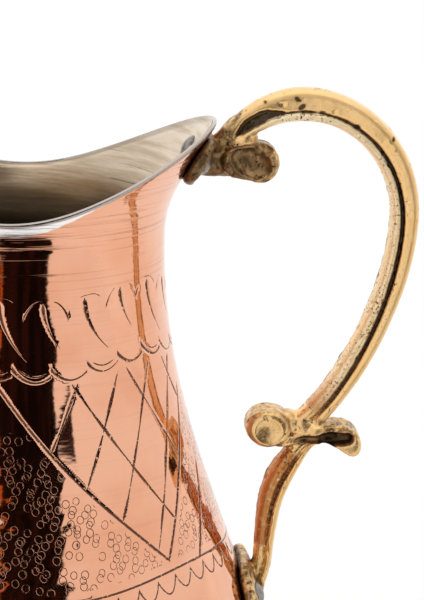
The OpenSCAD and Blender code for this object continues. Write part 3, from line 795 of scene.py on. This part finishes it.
def makeHandle():
    h = handle
    bow, leg, start, highKnob, lowKnob, curlTop = handleLines()
    t = np.linspace(0, 1, len(bow))
    bowShare, bowWide, bowInner, bowGroove, shift = (np.interp(t, *bowForm[key]) for key in bowForm)
    bowAt = 2 * bowInner - grooveOffset + shift
    leg = leg[legForm["start"]:]
    legShare = shares(len(leg), *legForm["share"])
    legInner = np.linspace(*legForm["bead"], len(leg))
    legAt = 2 * legInner - grooveOffset
    legGroove = np.full(len(leg), legForm["groove"])
    # each hollow: how dark it is painted (painted shade in the recess, with grime), then its place, half
    # sizes, turn and power
    hollows = [(0.8, highKnob[0] - 2.4, h["knobHalfW"] + 0.9, highKnob[1] + 0.3, (6.2, 3.9, 4.3), 26, 2),
               (0.7, highKnob[0] + 1.0, h["knobHalfW"] + 0.4, highKnob[1] + 4.6, (3.0, 3.6, 2.3), 40, 2),
               (1.0, curlTop[0] - 2.9, 5.6, curlTop[1] - 1.75, (4.9, 3.9, 2.0), -4, 3),
               (0.82, lowKnob[0] + 10.9, 5.4, lowKnob[1] - 3.2, (4.6, 3.4, 1.6), -6, 2),
               (0.0, lowKnob[0] - 0.1, h["knobHalfW"] + 0.1, lowKnob[1] - 0.6, (3.75, 0.8, 3.75), 0, 2)]
    crown = np.array([vessel["neckR"] + h["crownOut"], vessel["neckZ"] + h["crownRise"]])
    hollows += [(1.0, crown[0] + x, 4.9, crown[1] + z, axes, turn, 2) for x, z, axes, turn in flaws]
    parts = [
        rod("bow", bow, h["bowHalf"] * bowShare, h["bowHalfW"] * bowWide, bowInner, bowAt, bowGroove),
        rod("leg", leg, h["legHalf"] * legShare, h["legHalfW"] * legShare, legInner, legAt, legGroove),
        knob("highKnob", highKnob, h["highKnobR"], h["knobHalfW"], 0.3, (-6.1, 0.0, 0.78)),
        knob("lowKnob", lowKnob, h["lowKnobR"], h["knobHalfW"], 0.42, None, 0.86, 3),
        slab("curl", curlTop + np.array(curlOutline), h["curlHalfW"]),
        ball("web", (start[0] + 9.6, 0, start[1] + 4.2), (6.2, 3.7, 3.4), -38),
        ball("joint", (lowKnob[0] + 10.4, 0, lowKnob[1] - 0.6), (7.0, 4.7, 4.6), 20),
        ball("saddle", (lowKnob[0] + 5.5, 0, lowKnob[1] + 1.0), (5.0, 4.4, 3.6), 10),
        pad("highPad", vessel["neckZ"] + h["highPadRise"], h["highPadW"], h["highPadH"]),
        pad("lowPad", vessel["neckZ"] - h["lowPadDrop"], h["lowPadW"], h["lowPadH"])]
    deselect()
    bpy.ops.mesh.primitive_cylinder_add(vertices=40, radius=h["highKnobR"] * h["webR"] * mm,
                                        depth=h["highKnobOut"] * mm, rotation=(0, math.pi / 2, 0),
                                        location=((start[0] + h["highKnobOut"] / 2) * mm, 0, start[1] * mm))
    bpy.ops.object.transform_apply(location=True, rotation=True, scale=True)
    parts.append(active())
    for o in parts:
        o.select_set(True)
    bpy.context.view_layer.objects.active = parts[0]
    bpy.ops.object.join()
    cast = active()
    cast.name = cast.data.name = "brass_handle"
    apply(cast, "REMESH", mode="VOXEL", voxel_size=h["voxel"] * mm)
    co = coords(cast)
    for hollow in hollows:
        inside, y = hollowed(co, hollow)
        pressed = (inside < 1) & (np.abs(co[:, 1]) > y)
        co[pressed, 1] = np.sign(co[pressed, 1]) * y[pressed]
    setCoords(cast, co)
    apply(cast, "SMOOTH", factor=0.5, iterations=h["smooth"])

    # place across the rods and in hollows, for the finish
    co = coords(cast)
    lines = np.concatenate([bow, leg])
    normals = np.concatenate([sideways(bow), sideways(leg)])
    halves = np.concatenate([h["bowHalf"] * bowShare, h["legHalf"] * legShare])
    grooveAt = np.concatenate([bowAt, legAt])
    grooves = np.concatenate([bowGroove, legGroove])
    nearest = np.zeros(len(co), int)
    for first in range(0, len(co), 4000):
        d = co[first:first + 4000, None, [0, 2]] - lines[None]
        nearest[first:first + 4000] = (d ** 2).sum(2).argmin(1)
    roll = ((co[:, [0, 2]] - lines[nearest]) * normals[nearest]).sum(1) / halves[nearest]
    onRod = (np.abs(roll) < 1.12) & (np.abs(co[:, 1]) < h["bowHalfW"] * 1.06)
    onRod &= (nearest > 12) & (nearest < len(lines) - 12)
    onRod &= (nearest < len(bow) - 24) | (nearest > len(bow) + 13)
    away = np.abs(roll - grooveAt[nearest]) * halves[nearest] - grooves[nearest]
    tag(cast, "groove", np.where(onRod, away, 3.0))
    tag(cast, "bead", np.where(onRod, np.clip((grooveAt[nearest] - roll) * 4, -1, 1), -0.4))
    norms = np.zeros(len(co) * 3)
    cast.data.vertices.foreach_get("normal", norms)
    norms = norms.reshape(-1, 3)
    hollow = ((settled(cast, co, 60) - co) * norms).sum(1)
    onDisc = hollowed(co, hollows[4])[0] < 1.2
    curlEnd = (co[:, 0] > curlTop[0] + 1.2) & (co[:, 2] < curlTop[1] - 1.8)
    hollow = np.where(onDisc | curlEnd, np.minimum(hollow, 0.08), hollow)
    tag(cast, "hollow", settled(cast, hollow[:, None], 3)[:, 0])
    fromWall = np.hypot(co[:, 0], co[:, 1]) - spunR(co[:, 2])
    onBow = nearest < len(bow)
    along = np.cumsum(np.linalg.norm(np.diff(lines, axis=0, prepend=lines[:1]), axis=1))[nearest]
    # painted shade with grime: darkest where the handle meets the wall, then at the bow's root, in the
    # hollows and in the pits
    sooty = np.where(fromWall < 1.3, 1.0, 0.0)
    sooty = np.maximum(sooty, np.where(onBow, np.clip((12 - along) / 7, 0, 1) * 0.85, 0))
    for hollow in hollows:
        inside, y = hollowed(co, hollow)
        sooty = np.maximum(sooty, hollow[0] * ((inside < 1.03) & (np.abs(co[:, 1]) < y + 0.7)))
    sooty = settled(cast, sooty[:, None], 3)[:, 0]
    for hollow in hollows[-len(flaws):]:
        sooty = np.maximum(sooty, hollowed(co, hollow)[0] < 1.1)
    tag(cast, "sooty", sooty)
    fromKnob = np.hypot(co[:, 0] - lowKnob[0], co[:, 2] - lowKnob[1])
    # painted shade with ageing: browner on the rods' side that faces the body and near the wall, and aged at
    # the root, the knobs and the curl
    inside = (np.abs(norms[:, 1] - 0.4) < 0.3) & (norms[:, 0] < -0.5) & (roll < -0.3) & onRod
    onCurl = (co[:, 0] > curlTop[0] - 8) & (np.abs(co[:, 2] - curlTop[1] - 1.25) < 2.75) & ~onRod
    aged = onBow * np.clip((15 - along) / 8, 0, 1) * 0.75
    for where, share in ((fromWall < 5, 0.8), (~onRod & (co[:, 2] > 205) & (fromWall < 24), 0.7),
                         (~onRod & (co[:, 2] < 165), 0.12), (inside, 1.0), (onCurl, 0.75),
                         ((fromKnob < 1.2 * h["lowKnobR"]) & ~onDisc & (norms[:, 1] > -0.8), 0.5)):
        aged = np.maximum(aged, where * share)
    tag(cast, "aged", settled(cast, aged[:, None], 3)[:, 0])
    isBead = onRod & (roll < grooveAt[nearest])
    tint = isBead * np.where(onBow, 0.8 * np.clip((nearest / len(bow) - 0.8) / 0.07, 0, 1), 1.0)
    tag(cast, "corner", np.where(onRod, np.clip(1 - np.abs(roll - 0.66) / 0.22, 0, 1), 0.0))
    tag(cast, "along", along)
    tag(cast, "tint", settled(cast, tint[:, None], 4)[:, 0])

    # casting flaws
    rough = np.where(onRod, np.where(isBead, 1.0, 0.3), 0.8)
    push = np.zeros(len(co))
    for i, p in enumerate(co):
        v = Vector(p)
        push[i] = 0.11 * noise.noise(v * 0.17) + 0.07 * rough[i] * noise.noise(v * 0.6)
        push[i] += aged[i] * (0.3 * noise.noise(v * 0.28) + 0.16 * noise.noise(v * 0.75))
        pit = noise.noise(v * 0.55 + Vector((7, 3, 1))) - 0.56 + 0.14 * rough[i]
        push[i] -= min(max(pit, 0) * 2.6, 0.4)
    co = co + norms * push[:, None]
    co[:, 0] = np.minimum(co[:, 0], cadBox[1][0] / mm - 0.05)
    setCoords(cast, co)
    deselect()
    cast.select_set(True)
    bpy.ops.object.shade_smooth()
    return cast


# rivets: one is turned, then copied to its four places
rivet = {"shank": 3.8, "head": 6.6, "headH": 1.3, "span": 16.4, "gap": 0.05, "seatR": 55, "steps": 44}


def makeRivet():
    r = rivet
    domeR = (r["head"] ** 2 / 4 + r["headH"] ** 2) / (2 * r["headH"])
    top = math.asin(r["head"] / 2 / domeR)
    turns = [top * i / 9 for i in range(1, 10)]
    dome = [(domeR * math.sin(a), domeR * math.cos(a) - domeR + r["headH"]) for a in turns]
    inside = -vessel["wall"] - vessel["tin"] - r["head"] ** 2 / 8 / r["seatR"] - r["gap"]
    outside = handle["padT"] + r["gap"]
    profile = [(a, outside + b) for a, b in dome] + [(r["shank"] / 2, outside), (r["shank"] / 2, inside)]
    profile += [(a, inside - b) for a, b in reversed(dome)]
    o = rings("rivet", profile, r["steps"], True)
    faceMode(True)
    bpy.ops.mesh.edge_face_add()
    faceMode(False)
    tidyNormals(o)
    co = coords(o)
    for p in co:
        v = Vector(p)
        p += np.array(noise.noise_vector(v * 0.35)) * 0.09 * (math.hypot(p[0], p[1]) > 0.5)
    setCoords(o, co)
    bpy.ops.object.shade_smooth_by_angle(angle=math.radians(50))
    return o


def placeRivets(model, material):
    made = 0
    places = {"high": vessel["neckZ"] + handle["highPadRise"], "low": vessel["neckZ"] - handle["lowPadDrop"]}
    for level, z in places.items():
        r = spunAt(z)
        lean = math.atan(spunAt(z + 0.5) - spunAt(z - 0.5))
        for word, side in (("near", -1), ("far", 1)):
            o = bpy.data.objects.new(f"{level}_rivet_head_{word}", model.data.copy())
            scene.collection.objects.link(o)
            turn = Matrix.Rotation(side * math.asin(rivet["span"] / 2 / r), 4, "Z")
            o.data.transform(turn @ Matrix.Translation((r * mm, 0, z * mm))
                             @ Matrix.Rotation(math.pi / 2 + lean, 4, "Y")
                             @ Matrix.Rotation(side + made, 4, "Z"))
            dress(o, material, f"{level}_rivet_{word}")
            made += 1
    bpy.data.objects.remove(model)


# finishes
def newFinish(name):
    material = bpy.data.materials.new(name)
    material.use_nodes = True
    shop = Shop(material.node_tree)
    return material, shop, material.node_tree.nodes["Principled BSDF"]


copperFinish = {"pink": (0.87, 0.455, 0.295), "warm": (0.82, 0.385, 0.23), "dark_brown": (0.034, 0.012, 0.008),
                "tinned": (0.93, 0.90, 0.89), "edge": (0.30, 0.24, 0.20), "rough": 0.04, "stained": 0.9,
                "cutBump": 0.30, "spinBump": 0.03, "lineBump": 0.002, "broadBump": 0.05, "scratchBump": 0.035}


def makeCopperFinish():
    c = copperFinish
    material, shop, bsdf = newFinish("polished copper")
    place = shop.millimetres()
    x, y, z = shop.axes(place)
    ang = shop.maths("ARCTAN2", y, x) * (180 / math.pi)
    shake = shop.grain(place, 1.1, 2.0, 0.6)
    cuts = engraving(ang + 0.3 * (shake - 0.5), z)
    wear_and_painted_shade = ramp(shake, 0.28, 0.46)
    cut, core = cutDepth(cuts, 0.05, 1.0) * wear_and_painted_shade, cutCore(cuts) * wear_and_painted_shade
    spin = shop.grain(shop.stretched(place, (0.13, 0.13, 0.38)), 1.0, 2.0, 0.5)
    fine = shop.grain(shop.stretched(place, (0.012, 0.012, 1.3)), 1.0, 3.0, 0.7)
    broad = shop.grain(place, 0.05, 3.0, 0.55)
    below = shop.node("ShaderNodeAttribute", {"attribute_name": "below"}, out=2)
    ragged = shop.grain(place, 0.35, 3.0, 0.6)
    band = 0.25 + 3.0 * ramp(-size(ang + 95), -52, -12) + 1.0 * (ragged - 0.5)
    tinned = ramp(band - below, -0.2, 0.2)
    rimTop = ramp(0.95 - below, -0.2, 0.2)
    scratch = ramp(fine, 0.52, 0.66) * (0.25 + 0.75 * ramp(z, 186, 198))
    colour = shop.blend(ramp(broad, 0.35, 0.7), c["pink"], c["warm"])
    colour = shop.blend(0.22 * scratch, colour, c["dark_brown"])
    colour = shop.blend(ramp(core, 0.2, 0.6) * c["stained"], colour, c["dark_brown"])
    colour = shop.blend(tinned, colour, c["tinned"])
    colour = shop.blend(rimTop * 0.8, colour, c["edge"])
    shop.plug(bsdf.inputs["Base Color"], colour)
    shop.plug(bsdf.inputs["Roughness"], c["rough"] + 0.03 * fine + 0.14 * core + 0.14 * tinned)
    bsdf.inputs["Metallic"].default_value = 1.0
    height = c["spinBump"] * (1 + ramp(z, 185, 200)) * spin + c["broadBump"] * broad - c["cutBump"] * cut
    height = height + c["lineBump"] * (1 + 5 * ramp(z, 186, 198)) * fine
    height = height - c["scratchBump"] * scratch * ramp(z, 194, 202)
    shop.raised(bsdf, height)
    return material


tinFinish = {"clean": (0.71, 0.595, 0.465), "dull": (0.41, 0.30, 0.185), "dark_brown": (0.09, 0.055, 0.03),
             "rough": 0.24, "streakBump": 0.06, "lineBump": 0.012, "cloudBump": 0.15}


def makeTinFinish():
    c = tinFinish
    material, shop, bsdf = newFinish("wiped tin")
    place = shop.millimetres()
    streak = shop.grain(shop.stretched(place, (0.035, 0.035, 0.4)), 1.0, 5.0, 0.65)
    line = shop.grain(shop.stretched(place, (0.02, 0.02, 1.6)), 1.0, 3.0, 0.6)
    cloud = shop.grain(place, 0.05, 4.0, 0.6)
    below = shop.node("ShaderNodeAttribute", {"attribute_name": "below"}, out=2)
    x, y, z = shop.axes(place)
    ang = size(shop.maths("ARCTAN2", y, x) * (180 / math.pi))
    # painted shade: from 26 to 78 degrees round the tin is painted duller and darker, standing in for the
    # shade and dark reflections inside; the streaks are the tin's own
    wear_and_painted_shade = ramp(ang, 26, 78)
    colour = shop.blend(least(0.6 * ramp(streak, 0.38, 0.66) + 0.45 * wear_and_painted_shade, 1.0), c["clean"], c["dull"])
    colour = shop.blend(ramp(line, 0.58, 0.72) * ramp(cloud, 0.42, 0.62) * 0.7, colour, c["dark_brown"])
    colour = shop.blend(ramp(below, 4, 60) * 0.5, colour, c["dull"])
    # painted reflection: a dark patch on the far inner wall just under the rim
    painted_dark_reflection = ramp(ang, 78, 90) * ramp(-below, -9, -3) * ramp(streak, 0.35, 0.5)
    colour = shop.blend(0.6 * painted_dark_reflection, colour, c["dark_brown"])
    # painted shade: below about 196 mm the tin is painted dark, a painted shadow edge inside the neck
    deep = z + 3 * (cloud - 0.5)
    colour = shop.blend(ramp(-deep, -198, -194) * 0.76, colour, c["dark_brown"])
    shop.plug(bsdf.inputs["Base Color"], colour)
    shop.plug(bsdf.inputs["Roughness"], c["rough"] + 0.2 * streak)
    bsdf.inputs["Metallic"].default_value = 1.0
    height = c["streakBump"] * streak + c["lineBump"] * line + c["cloudBump"] * cloud
    shop.raised(bsdf, height)
    return material


brassFinish = {"yellow": (0.86, 0.54, 0.22), "cream": (0.98, 0.80, 0.51), "rust": (0.60, 0.26, 0.08),
               "brown": (0.20, 0.115, 0.05), "black": (0.040, 0.024, 0.014), "rough": 0.22,
               "patchBump": 0.03, "speckBump": 0.12, "fineBump": 0.006, "pitBump": 0.3}


def makeBrassFinish():
    c = brassFinish
    material, shop, bsdf = newFinish("cast brass")
    place = shop.millimetres()
    read = lambda name: shop.node("ShaderNodeAttribute", {"attribute_name": name}, out=2)
    groove, bead, hollow, along = read("groove"), read("bead"), read("hollow"), read("along")
    sooty, aged, tint, corner = read("sooty"), read("aged"), read("tint"), read("corner")
    cloud = shop.grain(place, 0.14, 4.0, 0.6)
    patch = shop.grain(place, 0.5, 4.0, 0.65)
    speck = shop.grain(place, 1.6, 2.0, 0.5)
    flaw = shop.grain(place, 0.62, 2.0, 0.6)
    fine = shop.grain(place, 3.4, 2.0, 0.5)
    inner = ramp(bead, -0.3, 0.4) * ramp(along, 12, 24)
    pits = ramp(speck, 0.60, 0.67) * (0.1 + 0.9 * inner) * ramp(cloud, 0.40, 0.6)
    pits = most(pits, ramp(flaw, 0.70, 0.73) * ramp(cloud, 0.38, 0.5))
    cut = ramp(-groove + 0.6 * (patch - 0.5), -0.16, 0.1)
    hatch = ramp(sine(along * 7.0 + 5 * patch), 0.1, 0.9) * ramp(along, 118, 135)
    dirt = ramp(hollow + 0.3 * (patch - 0.5), 0.12, 0.45)
    colour = shop.blend(0.8 * inner + 0.2 * ramp(cloud, 0.3, 0.7), c["yellow"], c["cream"])
    colour = shop.blend(0.5 * inner * ramp(speck, 0.42, 0.6) * ramp(along, 60, 90), colour, c["yellow"])
    colour = shop.blend(0.6 * inner * ramp(-groove, -0.6, -0.25) * ramp(along, 60, 90), colour, c["rust"])
    colour = shop.blend(tint * ramp(patch, 0.2, 0.5), colour, c["rust"])
    # browner in the hollows, where patina gathers, and where ageing and painted shade are marked
    colour = shop.blend(most(0.75 * dirt, aged * ramp(patch, 0.32, 0.58)), colour, c["brown"])
    # painted shade with grime: browner, and near black at the darkest, where the handle meets the wall, at
    # the root and in the hollows
    colour = shop.blend(sooty * 0.75, colour, c["brown"])
    pits = most(pits, 0.8 * ramp(aged, 0.3, 0.7) * ramp(patch + 0.5 * (speck - 0.5), 0.58, 0.66))
    dark = most(most(cut * (0.95 - 0.5 * hatch), pits), ramp(sooty, 0.7, 1.0) * 0.85)
    colour = shop.blend(dark, colour, c["black"])
    shop.plug(bsdf.inputs["Base Color"], colour)
    dull = 0.18 * inner + 0.3 * corner + 0.2 * pits + 0.16 * aged + 0.05 * fine
    shop.plug(bsdf.inputs["Roughness"], c["rough"] + dull)
    shop.plug(bsdf.inputs["Metallic"], 0.9 - 0.3 * most(inner * (1 - tint), corner))
    height = (c["patchBump"] + 0.07 * most(inner, aged)) * patch + c["speckBump"] * speck * (inner + aged)
    height = height + c["fineBump"] * fine - c["pitBump"] * pits
    shop.raised(bsdf, height)
    return material


rivetFinish = {"grey": (0.30, 0.27, 0.245), "dark": (0.07, 0.058, 0.05), "rough": 0.26, "cloudBump": 0.1}


def makeRivetFinish():
    c = rivetFinish
    material, shop, bsdf = newFinish("rivet metal")
    place = shop.millimetres()
    cloud = shop.grain(place, 0.5, 4.0, 0.6)
    shop.plug(bsdf.inputs["Base Color"], shop.blend(ramp(cloud, 0.45, 0.75), c["grey"], c["dark"]))
    shop.plug(bsdf.inputs["Roughness"], c["rough"] + 0.25 * cloud)
    bsdf.inputs["Metallic"].default_value = 1.0
    shop.raised(bsdf, c["cloudBump"] * cloud)
    return material


# studio: white tent with a dark opening beside the camera
studio = {"dark": (0.006, 0.0035, 0.003), "ember": (0.024, 0.009, 0.0065), "glow": (0.55, 0.15, 0.03),
          "openLeft": -86, "tent": 0.97, "front": 1.05, "back": 1.2, "top": 1.45,
          "floor": 6.0, "floorFront": -0.29, "floorGrey": 0.88,
          "rightEdge": [(-0.57, -45.6), (-0.2, -52.7), (-0.11, -53.5), (0.0, -47.6), (0.03, -47.3),
                        (0.116, -51.9), (0.16, -50), (0.25, -48.6), (0.31, -51), (0.66, -54)],
          "hoodLow": 0.11, "hoodLeft": -41, "hoodRight": -39, "hoodGrade": 100, "glowAt": -84}


def makeStudio():
    s = studio
    world = bpy.data.worlds.new("tent")
    scene.world = world
    world.use_nodes = True
    shop = Shop(world.node_tree)
    ground = world.node_tree.nodes["Background"]
    way = shop.node("ShaderNodeTexCoord", out=0)
    x, y, z = shop.axes(way)
    ang = shop.maths("ARCTAN2", y, x) * (180 / math.pi)
    wave = shop.grain(way, 5.0, 2.0, 0.5)
    edge = ang + 6 * (wave - 0.5)
    stops = [((h + 1) / 2, ((a + 60) / 30,) * 3 + (1,)) for h, a in s["rightEdge"]]
    right = shop.node("ShaderNodeValToRGB", {"stops": stops}, {0: 0.5 * z + 0.5}) * 30 - 60
    opening = ramp(edge, s["openLeft"] - 1, s["openLeft"] + 1) * ramp(right - edge, -0.6, 0.6)
    opening = opening * ramp(z, -0.66, -0.62) * ramp(-z, -0.66, -0.60)
    hood = ramp(edge - s["hoodLeft"] + s["hoodGrade"] * (z - s["hoodLow"]), -0.8, 0.8)
    hood = hood * ramp(s["hoodRight"] - edge, -0.6, 0.6) * ramp(z, 0.1, 0.11) * ramp(-z, -0.24, -0.22)
    opening = most(opening, hood)
    front = ramp(ang, -150, -112) * ramp(-ang, 78, 82) * ramp(-z, -0.75, -0.35) * ramp(z, -0.75, -0.45)
    light = s["tent"] + (s["front"] - s["tent"]) * front + (s["back"] - s["tent"]) * ramp(y, 0.3, 0.95)
    light = light + (s["top"] - s["tent"]) * ramp(z, 0.6, 0.95)
    grey = shop.node("ShaderNodeCombineXYZ", {}, {0: light, 1: light, 2: light})
    murk = ramp(shop.grain(shop.stretched(way, (11, 11, 2.2)), 1.0, 3.0, 0.6), 0.42, 0.66)
    colour = shop.blend(opening, grey, shop.blend(murk, s["dark"], s["ember"]))
    strip = ramp(0.9 - size(edge - s["glowAt"] + 1.5 * sine(z * 14)), 0.0, 0.6)
    strip = strip * ramp(z, -0.25, -0.15) * ramp(-z, -0.5, -0.4)
    colour = shop.blend(strip, colour, s["glow"])
    seen = shop.node("ShaderNodeLightPath", out=0)
    shop.plug(ground.inputs["Color"], shop.blend(seen, colour, (1, 1, 1)))
    deselect()
    bpy.ops.mesh.primitive_plane_add(size=1, location=(0, 0, 0))
    ground = active()
    ground.name = "floor"
    ground.data.transform(Matrix.Translation((0, s["floorFront"] + s["floor"] / 2, -0.0001))
                          @ Matrix.Diagonal((s["floor"] * 2, s["floor"], 1, 1)))
    material, shop, bsdf = newFinish("pale floor")
    bsdf.inputs["Base Color"].default_value = (*[s["floorGrey"]] * 3, 1)
    bsdf.inputs["Roughness"].default_value = 0.9
    ground.data.materials.append(material)


# camera
view = {"from": (18.24, -582.96, 318.69), "at": (59.0, 0, 182.7), "roll": 2.47, "lens": 132.89}


def makeCamera():
    c = view
    back = (Vector(c["from"]) - Vector(c["at"])).normalized()
    right = Vector((0, 0, 1)).cross(back).normalized()
    up = back.cross(right)
    k = math.radians(c["roll"])
    side = right * math.cos(k) + up * math.sin(k)
    tall = up * math.cos(k) - right * math.sin(k)
    data = bpy.data.cameras.new("camera")
    data.lens, data.sensor_fit, data.sensor_height = c["lens"], "VERTICAL", 36
    data.clip_start, data.clip_end = 0.01, 50
    camera = bpy.data.objects.new("camera", data)
    scene.collection.objects.link(camera)
    place = Matrix((side, tall, back)).transposed().to_4x4()
    place.translation = Vector(c["from"]) * mm
    camera.matrix_world = place
    scene.camera = camera


makeCamera()
makeStudio()
print("studio: camera, tent and floor set")
copper, tin, brass, rivetMetal = makeCopperFinish(), makeTinFinish(), makeBrassFinish(), makeRivetFinish()
print("finishes: made")
dress(makeCopperWall(), copper, "body_wall")
dress(makeTinCoat(), tin, "tin_lining")
dress(makeBasePlate(), copper, "base_plate")
dress(makeHandle(), brass, "handle")
placeRivets(makeRivet(), rivetMetal)
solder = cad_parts["seam_solder"]
solder.data.materials.clear()
solder.data.materials.append(tin)
